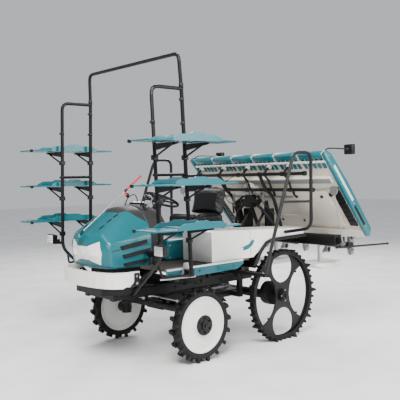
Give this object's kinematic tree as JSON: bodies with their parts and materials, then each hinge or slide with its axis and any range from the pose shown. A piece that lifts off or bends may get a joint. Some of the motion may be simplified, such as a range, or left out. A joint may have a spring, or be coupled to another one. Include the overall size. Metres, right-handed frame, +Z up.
{
  "type": "rice transplanter",
  "caption": "Riding rice transplanter with seedling shelves, hooped guard rail, paddle rear wheels and a lifting planting unit with a sloping seedling platform",
  "frame": {"origin": "centre of the bounding box's footprint, on the ground under the wheels", "axes": "+Z up, -Y towards the front of the machine, +X towards its left side"},
  "size_m": [2.29, 2.9904, 2.6479],
  "materials": {
    "teal_paint": "satin",
    "white_paint": "satin",
    "cream_plastic": "satin",
    "black_paint": "satin",
    "dark_casting": "matte",
    "tyre_rubber": "matte",
    "floor_mat": "matte",
    "cowl_plastic": "matte",
    "seat_vinyl": "satin",
    "bare_steel": "brushed"
  },
  "bodies": {
    "chassis": {"bumper": "white_paint", "chassis_frame": "black_paint", "engine_block": "dark_casting", "footplate": "floor_mat", "front_axle": "dark_casting", "gearbox": "dark_casting", "hoop": "black_paint", "instrument_cowl": "cowl_plastic", "lower_shelf_left": "teal_paint", "lower_shelf_right": "teal_paint", "middle_shelf_left": "teal_paint", "middle_shelf_right": "teal_paint", "mudguard_left": "black_paint", "mudguard_right": "black_paint", "rack_left": "black_paint", "rack_right": "black_paint", "rear_axle": "dark_casting", "rear_cover_left": "white_paint", "rear_cover_right": "white_paint", "seat_back": "seat_vinyl", "seat_base": "teal_paint", "seat_cushion": "seat_vinyl", "side_guard_left": "black_paint", "side_guard_right": "black_paint", "skirt_left": "teal_paint", "skirt_right": "teal_paint", "steering_column": "black_paint", "upper_shelf_left": "teal_paint", "upper_shelf_right": "teal_paint"},
    "steering_wheel": {"steering_wheel": "black_paint"},
    "knuckle_left": {"knuckle_left": "dark_casting"},
    "knuckle_right": {"knuckle_right": "dark_casting"},
    "pitman_arm": {"pitman_arm": "dark_casting"},
    "tie_rod_left": {"tie_rod_left": "bare_steel"},
    "tie_rod_right": {"tie_rod_right": "bare_steel"},
    "front_wheel_left": {"front_tyre_left": "tyre_rubber", "front_disc_left": "white_paint"},
    "front_wheel_right": {"front_tyre_right": "tyre_rubber", "front_disc_right": "white_paint"},
    "rear_wheel_left": {"rear_tyre_left": "tyre_rubber", "rear_spider_left": "black_paint"},
    "rear_wheel_right": {"rear_tyre_right": "tyre_rubber", "rear_spider_right": "black_paint"},
    "lower_link": {"lower_link": "black_paint"},
    "upper_link": {"upper_link": "black_paint"},
    "planting_unit": {"planting_frame": "black_paint", "float_centre": "white_paint", "float_left": "white_paint", "float_right": "white_paint"},
    "lift_barrel": {"lift_barrel": "dark_casting"},
    "lift_ram": {"lift_ram": "bare_steel"},
    "seedling_platform": {"seedling_platform": "cream_plastic"},
    "planting_rotors": {"planting_rotors_left": "bare_steel", "planting_rotors_centre": "bare_steel", "planting_rotors_right": "bare_steel"},
    "marker_left": {"line_marker_left": "bare_steel"},
    "marker_right": {"line_marker_right": "bare_steel"},
    "hood": {"hood": "teal_paint"},
    "sight_rod": {"sight_rod": "bare_steel"}
  },
  "joints": [
    {"name": "steering_wheel_turn", "type": "hinge", "parent": "chassis", "child": "steering_wheel", "pos_m": [0, -0.571, 1.4], "axis": [0, 0.4229, 0.9062], "range_deg": [-360, 360]},
    {"name": "steer_left", "type": "hinge", "parent": "chassis", "child": "knuckle_left", "pos_m": [0.495, -0.651, 0.325], "axis": [0, 0, 1], "range_deg": [-40, 40]},
    {"name": "steer_right", "type": "hinge", "parent": "chassis", "child": "knuckle_right", "pos_m": [-0.495, -0.651, 0.325], "axis": [0, 0, 1], "range_deg": [-40, 40]},
    {"name": "pitman_turn", "type": "hinge", "parent": "chassis", "child": "pitman_arm", "pos_m": [0, -0.651, 0.52], "axis": [0, 0, 1], "range_deg": [-40, 40]},
    {"name": "tie_rod_left_pin", "type": "hinge", "parent": "knuckle_left", "child": "tie_rod_left", "pos_m": [0.495, -0.801, 0.52], "axis": [0, 0, 1], "range_deg": [-40, 40]},
    {"name": "tie_rod_right_pin", "type": "hinge", "parent": "knuckle_right", "child": "tie_rod_right", "pos_m": [-0.495, -0.801, 0.52], "axis": [0, 0, 1], "range_deg": [-40, 40]},
    {"name": "front_wheel_left_turn", "type": "hinge", "parent": "knuckle_left", "child": "front_wheel_left", "pos_m": [0.615, -0.651, 0.325], "axis": [1, 0, 0], "continuous": true},
    {"name": "front_wheel_right_turn", "type": "hinge", "parent": "knuckle_right", "child": "front_wheel_right", "pos_m": [-0.615, -0.651, 0.325], "axis": [1, 0, 0], "continuous": true},
    {"name": "rear_wheel_left_turn", "type": "hinge", "parent": "chassis", "child": "rear_wheel_left", "pos_m": [0.618, 0.421, 0.435], "axis": [1, 0, 0], "continuous": true},
    {"name": "rear_wheel_right_turn", "type": "hinge", "parent": "chassis", "child": "rear_wheel_right", "pos_m": [-0.618, 0.421, 0.435], "axis": [1, 0, 0], "continuous": true},
    {"name": "lift_raise", "type": "hinge", "parent": "chassis", "child": "lower_link", "pos_m": [0, 0.389, 0.6], "axis": [1, 0, 0], "range_deg": [-58, 0]},
    {"name": "upper_link_turn", "type": "hinge", "parent": "chassis", "child": "upper_link", "pos_m": [0, 0.389, 0.8], "axis": [1, 0, 0], "range_deg": [-58, 0]},
    {"name": "planting_unit_pin", "type": "hinge", "parent": "lower_link", "child": "planting_unit", "pos_m": [0, 0.739, 1.02], "axis": [1, 0, 0], "range_deg": [0, 58]},
    {"name": "lift_barrel_turn", "type": "hinge", "parent": "chassis", "child": "lift_barrel", "pos_m": [0, 0.089, 0.92], "axis": [1, 0, 0], "range_deg": [-24.5, 0]},
    {"name": "lift_ram_extend", "type": "slide", "parent": "lift_barrel", "child": "lift_ram", "axis": [0, 0.9888, 0.1491], "range_m": [0, 0.1025]},
    {"name": "platform_traverse", "type": "slide", "parent": "planting_unit", "child": "seedling_platform", "axis": [1, 0, 0], "range_m": [-0.3, 0]},
    {"name": "planting_rotors_turn", "type": "hinge", "parent": "planting_unit", "child": "planting_rotors", "pos_m": [0, 1.379, 0.86], "axis": [1, 0, 0], "continuous": true},
    {"name": "marker_left_swing", "type": "hinge", "parent": "planting_unit", "child": "marker_left", "pos_m": [1.085, 0.7857, 0.93], "axis": [0, 1, 0], "range_deg": [0, 80]},
    {"name": "marker_right_swing", "type": "hinge", "parent": "planting_unit", "child": "marker_right", "pos_m": [-1.085, 0.7857, 0.93], "axis": [0, -1, 0], "range_deg": [0, 80]},
    {"name": "hood_open", "type": "hinge", "parent": "chassis", "child": "hood", "pos_m": [0, -1.411, 0.85], "axis": [1, 0, 0], "range_deg": [0, 60]},
    {"name": "sight_rod_fold", "type": "hinge", "parent": "hood", "child": "sight_rod", "pos_m": [0, -1.486, 1.125], "axis": [1, 0, 0], "range_deg": [0, 60]}
  ],
  "couplings": [
    {"joint": "steer_left", "follows": "steering_wheel_turn", "ratio": 0.11111},
    {"joint": "steer_right", "follows": "steering_wheel_turn", "ratio": 0.11111},
    {"joint": "pitman_turn", "follows": "steering_wheel_turn", "ratio": 0.11111},
    {"joint": "tie_rod_left_pin", "follows": "steering_wheel_turn", "ratio": -0.11111},
    {"joint": "tie_rod_right_pin", "follows": "steering_wheel_turn", "ratio": -0.11111},
    {"joint": "upper_link_turn", "follows": "lift_raise", "ratio": 1},
    {"joint": "planting_unit_pin", "follows": "lift_raise", "ratio": -1},
    {"joint": "lift_barrel_turn", "follows": "lift_raise", "ratio": 0.42},
    {"joint": "lift_ram_extend", "follows": "lift_raise", "m_per_rad": -0.101}
  ]
}
